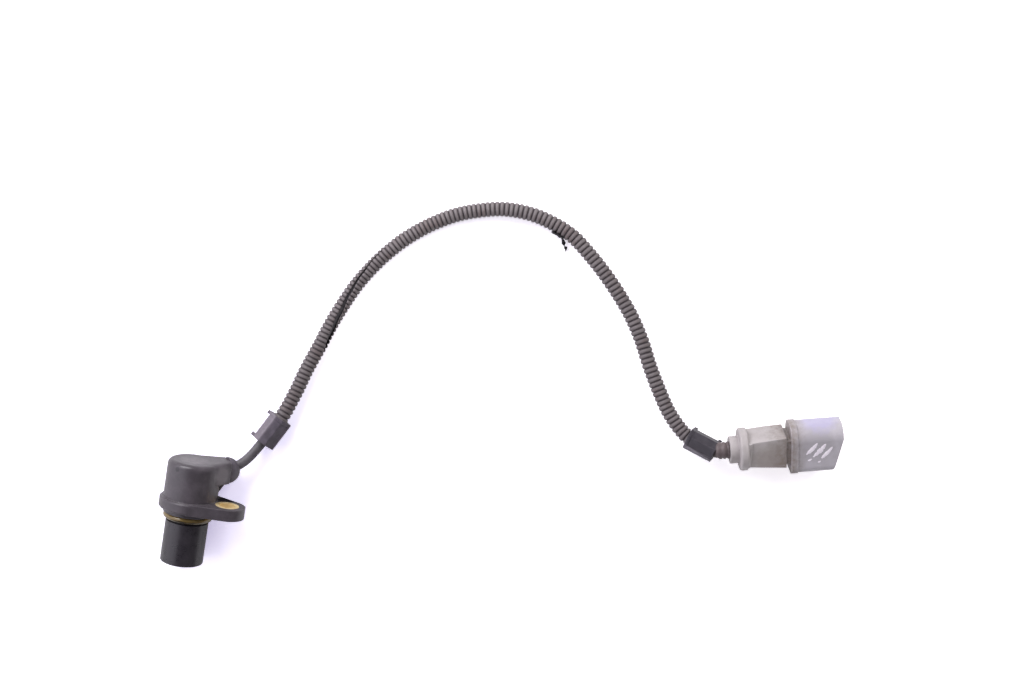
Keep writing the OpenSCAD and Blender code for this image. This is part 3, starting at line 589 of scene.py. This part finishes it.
# Round rib with a narrow groove on each side: share of the pitch, share of the rib's height
RIB_PROFILE = [
    (0.0, 0.0), (0.07, 0.16), (0.15, 0.6), (0.26, 0.86), (0.4, 0.98),
    (0.6, 0.98), (0.74, 0.86), (0.85, 0.6), (0.93, 0.16),
]
# Where the slit lies: number of the route's point, degrees from the top to the left, open width
SLIT_WAY = [
    (2, -110, 0.3), (5.5, -92, 1.0), (6.7, -52, 2.3), (7.5, -27, 1.9), (8.5, -1, 1.3), (9.5, 19, 0.9),
    (10.4, 38, 0.6), (11.3, 62, 0.15), (13, 130, 0.1), (19, 262, 0.3), (22, 280, 0.3), (30, 285, 0.3),
]


def rib_starts(length):
    """Where each rib starts along the conduit, and where the last one ends."""
    starts = [0.0]
    while starts[-1] < length:
        share = starts[-1] / length
        i = min(max(bisect.bisect_left([s for s, _ in RIB_PITCHES], share), 1), len(RIB_PITCHES) - 1)
        (share_a, pitch_a), (share_b, pitch_b) = RIB_PITCHES[i - 1:i + 1]
        pitch = pitch_a + (share - share_a) / (share_b - share_a) * (pitch_b - pitch_a)
        starts.append(starts[-1] + pitch * MM)
    return [start * length / starts[-1] for start in starts]


def slit_at(run, distance):
    """Angle and open width of the slit at a distance along the conduit."""
    marks = [run.mark(number - CONDUIT_FROM) for number, _, _ in SLIT_WAY]
    i = min(max(bisect.bisect_left(marks, distance), 1), len(marks) - 1)
    share = (distance - marks[i - 1]) / (marks[i] - marks[i - 1])
    share = share * share * (3 - 2 * share)
    (_, angle_a, width_a), (_, angle_b, width_b) = SLIT_WAY[i - 1:i + 1]
    return math.radians(angle_a + share * (angle_b - angle_a)), (width_a + share * (width_b - width_a)) * MM


def make_conduit():
    """Ribs along X, spun nearly all round, turned so that the slit winds, and bent onto the route."""
    run = Run(millimetres(LEAD_RUN[CONDUIT_FROM:CONDUIT_TO + 1]))
    length = run.length - 2 * CONDUIT_INSET
    starts = rib_starts(length)
    profile = [
        (CONDUIT_INSET + a + along * (b - a), GROOVE_R + height * (RIB_R - GROOVE_R))
        for a, b in zip(starts, starts[1:]) for along, height in RIB_PROFILE
    ]
    bm = spin_profile(profile, CONDUIT_SIDES, TURN - SEAM)
    bmesh.ops.solidify(bm, geom=bm.faces[:], thickness=CONDUIT_WALL)
    ribs = bm.verts.layers.float.new(RIB_HEIGHT)
    for vert in bm.verts:
        radius = math.hypot(vert.co.y, vert.co.z)
        vert[ribs] = (radius - GROOVE_R) / (RIB_R - GROOVE_R)
        turn = math.atan2(vert.co.z, vert.co.y) % TURN
        if turn > TURN - SEAM / 2:
            turn -= TURN
        angle, width = slit_at(run, vert.co.x)
        gap = width / RIB_R
        turn = TURN / 4 - angle + gap / 2 + turn / (TURN - SEAM) * (TURN - gap)
        vert.co.y = radius * math.cos(turn)
        vert.co.z = radius * math.sin(turn)
    smooth(bm)
    run.lay(bm)
    path = [run.at(CONDUIT_INSET + length * i / PATH_STEPS)[0] for i in range(PATH_STEPS + 1)]
    return new_piece("corrugated_conduit", bm, conduit_nylon, "conduit", "conduit"), path


conduit, conduit_path = make_conduit()

# White paint, dabbed on the shroud's upper face in three plain dashes
CONNECTOR_FRAME = (
    Matrix.Translation(CONNECTOR_AT)
    @ Matrix.Rotation(CONNECTOR_TURN, 4, "Z")
    @ Matrix.Rotation(CONNECTOR_ROLL, 4, "X")
)
# The upper face in the connector's own frame, in millimetres: its height, its edge and the corner's radius
SHROUD_FACE = 7.5
SHROUD_EDGE = 4.5
SHROUD_ROUND = 6
PAINT_RISE = 0.08
PAINT_SUNK = 0.01
PAINT_STEP = 0.3
PAINT_RAGGED = 0.4
PAINT_RAGS_PER_MM = 1.7
# A dash's round ends: the square of its share of width at the very end, and how fast that grows
DASH_END = 0.15
DASH_GROWTH = 6
# Each dash or fleck: half width at its start, middle and end, and its points along and across the face
STROKES = [
    ((0.6, 1.0, 0.5), [(31.4, -0.8), (33.1, 0.8), (34.7, 2.5), (36.0, 4.3)]),
    ((0.5, 1.15, 0.6), [(34.3, -2.2), (36.2, -0.4), (38.0, 1.5), (39.5, 3.6)]),
    ((0.65, 0.95, 0.4), [(37.8, -3.1), (39.5, -1.4), (41.1, 0.3), (42.4, 2.0)]),
    ((0.3, 0.5, 0.3), [(32.0, -3.9), (32.9, -3.6), (33.8, -3.1)]),
    ((0.2, 0.4, 0.2), [(36.2, -4.9), (36.9, -4.7), (37.6, -4.3)]),
]
# Ridge of paint across a dash: share of the half width, share of the rise
PAINT_RIDGE = [(-1, 0), (-0.6, 0.8), (0, 1), (0.6, 0.8), (1, 0)]


def on_shroud(along, across, rise):
    """Point over the shroud's upper face, which bends down round its corner."""
    beyond = max(across - SHROUD_EDGE, 0) / SHROUD_ROUND
    radius = SHROUD_ROUND + rise
    return CONNECTOR_FRAME @ (Vector((
        along, min(across, SHROUD_EDGE) + radius * math.sin(beyond),
        SHROUD_FACE - SHROUD_ROUND + radius * math.cos(beyond),
    )) * MM)


def add_sheet(bm, along, across, place):
    """Adds a grid and puts each of its points where a function of the shares along and across says."""
    half = 0.5
    points = bmesh.ops.create_grid(bm, x_segments=along, y_segments=across, size=half)["verts"]
    for point in points:
        point.co = place(point.co.x + half, point.co.y + half)
        for face in point.link_faces:
            face.smooth = True


def stroke_width(widths, share):
    """Half width of a dash, which tapers to round ends."""
    first, middle, last = widths
    early = first + (middle - first) * 2 * share
    late = middle + (last - middle) * (2 * share - 1)
    half = early if share < 0.5 else late
    return half * math.sqrt(min(1, DASH_END + DASH_GROWTH * share * (1 - share)))


def paint_ridge(run, widths):
    """Function that places the points of a low, ragged ridge of paint along a dash."""
    def ridge(along, across):
        centre, forward = run.at(run.length * along)
        ragged = 1 + PAINT_RAGGED * noise.noise(centre * PAINT_RAGS_PER_MM)
        half = stroke_width(widths, along) * ragged
        step, rise = PAINT_RIDGE[round(across * (len(PAINT_RIDGE) - 1))]
        place = centre + step * half * Vector((-forward.y, forward.x, 0))
        return on_shroud(place.x, place.y, PAINT_RISE * rise - PAINT_SUNK)
    return ridge


def make_paint():
    """The dashes and flecks of paint as one piece."""
    bm = bmesh.new()
    for widths, points in STROKES:
        run = Run([Vector((x, y, 0)) for x, y in points], steps=8)
        along = round(run.length / PAINT_STEP)
        add_sheet(bm, along, len(PAINT_RIDGE) - 1, paint_ridge(run, widths))
    bmesh.ops.recalc_face_normals(bm, faces=bm.faces)
    return new_piece("paint_strokes", bm, white_paint, None)


paint = make_paint()

# Scrap of black tape that is left on the conduit's inner side, with a torn strip that hangs off it
TAPE_FROM = 18.1
TAPE_TO = 18.75
TAPE_R = 3.7 * MM
TAPE_T = 0.12 * MM
TAPE_GRID = (24, 8)
# Edges of the tape in degrees from the top, how many degrees they wander, and how often along the scrap
TAPE_ANGLES = (-54, -150)
TAPE_RAGGED = 12
TAPE_RAGS = 6
# Creases: share of the radius, and how many lie along and across the scrap
TAPE_CREASE = 0.12
TAPE_CREASES = (8, 4)
# Direction that the torn strip faces, a little off the top, and its rows of faces
STRIP_FACES = Vector((0, 0.3, 1))
STRIP_ROWS = 2
# Torn strip: place and half width in millimetres
TAPE_STRIP = [
    ((151.9, 116.2, 2.6), 0.5), ((152.3, 115.2, 2.0), 0.45), ((152.6, 114.3, 1.5), 0.75),
    ((152.8, 113.5, 1.2), 0.95), ((152.95, 112.8, 1.0), 0.35), ((153.05, 112.3, 0.9), 0.15),
    ((153.7, 111.7, 1.0), 0.8), ((153.7, 111.0, 0.8), 0.45), ((153.65, 109.9, 0.5), 0.06),
]


def make_tape():
    """A thin shell over the ribs, with ragged edges, and the strip as a ribbon."""
    run = Run(millimetres(LEAD_RUN))
    start = run.mark(TAPE_FROM)
    length = run.mark(TAPE_TO) - start

    def shell(along, across):
        centre, forward = run.at(start + along * length)
        left = UP.cross(forward).normalized()
        ragged = TAPE_RAGGED * noise.noise(Vector((along * TAPE_RAGS, 2, 3)))
        first = TAPE_ANGLES[0] + ragged
        turn = math.radians(first + across * (TAPE_ANGLES[1] - first))
        crease = noise.noise(Vector((along * TAPE_CREASES[0], across * TAPE_CREASES[1], 7)))
        radius = TAPE_R * (1 + TAPE_CREASE * crease)
        return centre + radius * (math.cos(turn) * forward.cross(left) + math.sin(turn) * left)

    def strip(along, across):
        last = len(TAPE_STRIP) - 1
        i = round(along * last)
        place, half = TAPE_STRIP[i]
        way = Vector(TAPE_STRIP[min(i + 1, last)][0]) - Vector(TAPE_STRIP[max(i - 1, 0)][0])
        side = way.cross(STRIP_FACES).normalized()
        return (Vector(place) + (2 * across - 1) * half * side) * MM

    bm = bmesh.new()
    add_sheet(bm, *TAPE_GRID, shell)
    add_sheet(bm, len(TAPE_STRIP) - 1, STRIP_ROWS, strip)
    bmesh.ops.recalc_face_normals(bm, faces=bm.faces)
    bmesh.ops.solidify(bm, geom=bm.faces[:], thickness=TAPE_T)
    return new_piece("tape_scrap", bm, black_tape, None)


tape = make_tape()

# Names of the connector's nodes
CONNECTOR_NODES = ["connector_body", "connector_shroud", "terminal_lock"]
CONNECTOR_NODES += [f"connector_core_{way}" for way in WAYS]
CONNECTOR_NODES += [f"blade_{way}" for way in WAYS]

# Table: a pale plane that keeps the deepest shadows and looks white to the camera
TABLE_HALF = 3000 * MM
WHITE = (1, 1, 1, 1)
# The table as it lights the object, as reflections show it, and what the camera sees on top of that
TABLE_PLAIN = (0.8, 0.8, 0.8, 1)
TABLE_MIRRORED = (0.95, 0.95, 0.95, 1)
TABLE_MORE = (0.35, 0.35, 0.35, 1)
# Tone of the shadows, painted darker near the sensor and the connector: centre in millimetres, where the
# tone starts to fade and where it ends, colour
TABLE_SHADES = [
    ((130, 60, 0), 280, 600, (0.5, 0.475, 0.53, 1)),
    ((16, 8, 0), 28, 70, (0.345, 0.31, 0.485, 1)),
    ((252, 14, 0), 28, 50, (0.43, 0.41, 0.43, 1)),
]


def make_table():
    """The table: it shows its shadow tones to the camera alone."""
    material, tree = new_material("white_table")
    light = add(tree, "LightPath", {})
    plain = add(tree, "BsdfDiffuse", {"Color": TABLE_PLAIN})
    white = add(tree, "BsdfDiffuse", {"Color": TABLE_MIRRORED})
    mirrored = add(tree, "Math", {
        0: light.outputs["Is Glossy Ray"], 1: light.outputs["Is Transmission Ray"],
    }, operation="MAXIMUM")
    unseen = add(tree, "MixShader", {0: mirrored.outputs[0], 1: plain.outputs[0], 2: white.outputs[0]})
    place = add(tree, "TexCoord", {}).outputs["Object"]
    tone = WHITE
    for centre, near, far, shade in TABLE_SHADES:
        away = add(tree, "VectorMath", {0: place, 1: Vector(centre) * MM}, operation="DISTANCE")
        fade = add(tree, "MapRange", {
            "Value": away.outputs["Value"], "From Min": near * MM, "From Max": far * MM,
        })
        tone = add(tree, "MixRGB", {"Fac": fade.outputs[0], "Color1": shade, "Color2": tone}).outputs[0]
    glow = add(tree, "Emission", {"Color": tone, "Strength": 1.0})
    more = add(tree, "BsdfDiffuse", {"Color": TABLE_MORE})
    twice = add(tree, "AddShader", {0: white.outputs[0], 1: more.outputs[0]})
    seen = add(tree, "AddShader", {0: twice.outputs[0], 1: glow.outputs[0]})
    mixed = add(tree, "MixShader", {
        0: light.outputs["Is Camera Ray"], 1: unseen.outputs[0], 2: seen.outputs[0],
    })
    add(tree, "OutputMaterial", {"Surface": mixed.outputs[0]})
    bm = bmesh.new()
    bmesh.ops.create_grid(bm, x_segments=1, y_segments=1, size=TABLE_HALF)
    mesh = bpy.data.meshes.new("table")
    bm.to_mesh(mesh)
    bm.free()
    mesh.materials.append(material)
    table = bpy.data.objects.new("table", mesh)
    scene.collection.objects.link(table)


make_table()

# Light: a large screen on the left, weak screens in front and on the right, and three softboxes


def softbox(name, place, aim, size, power, colour, mirrored=True):
    """An area lamp at a place in millimetres, turned to a point near the table."""
    lamp = bpy.data.lights.new(name, "AREA")
    lamp.shape = "RECTANGLE"
    lamp.size = size[0] * MM
    lamp.size_y = size[1] * MM
    lamp.energy = power
    lamp.color = colour
    holder = bpy.data.objects.new(name, lamp)
    holder.location = Vector(place) * MM
    holder.visible_glossy = mirrored
    holder.rotation_euler = (Vector(aim) - Vector(place)).to_track_quat("-Z", "Y").to_euler()
    scene.collection.objects.link(holder)


softbox(
    "left_screen", (-560, 60, 400), aim=(0, 20, 60), size=(800, 900), power=3.5, colour=(0.93, 0.91, 1),
)
softbox(
    "front_screen", (-380, -520, 330), aim=(150, 20, 0), size=(560, 360), power=0.8,
    colour=(0.98, 0.96, 1), mirrored=False,
)
softbox(
    "right_screen", (900, -60, 150), aim=(100, 0, 20), size=(900, 220), power=0.4,
    colour=(1, 0.98, 1), mirrored=False,
)
softbox(
    "near_softbox", (300, -160, 260), aim=(245, 5, 0), size=(200, 160), power=0.15,
    colour=(1, 0.98, 0.99), mirrored=False,
)
softbox(
    "rear_softbox", (-260, 620, 470), aim=(80, 30, 0), size=(560, 380), power=6.0, colour=(0.98, 0.96, 1),
)
softbox(
    "right_softbox", (520, 380, 420), aim=(160, 30, 0), size=(420, 380), power=2.2,
    colour=(1, 0.98, 0.97), mirrored=False,
)

SKY_COLOUR = (0.92, 0.9, 1, 1)
SKY_STRENGTH = 0.12
world = bpy.data.worlds.new("studio")
world.use_nodes = True
scene.world = world
sky = world.node_tree.nodes["Background"]
sky.inputs["Color"].default_value = SKY_COLOUR
sky.inputs["Strength"].default_value = SKY_STRENGTH

scene.view_settings.view_transform = "Standard"
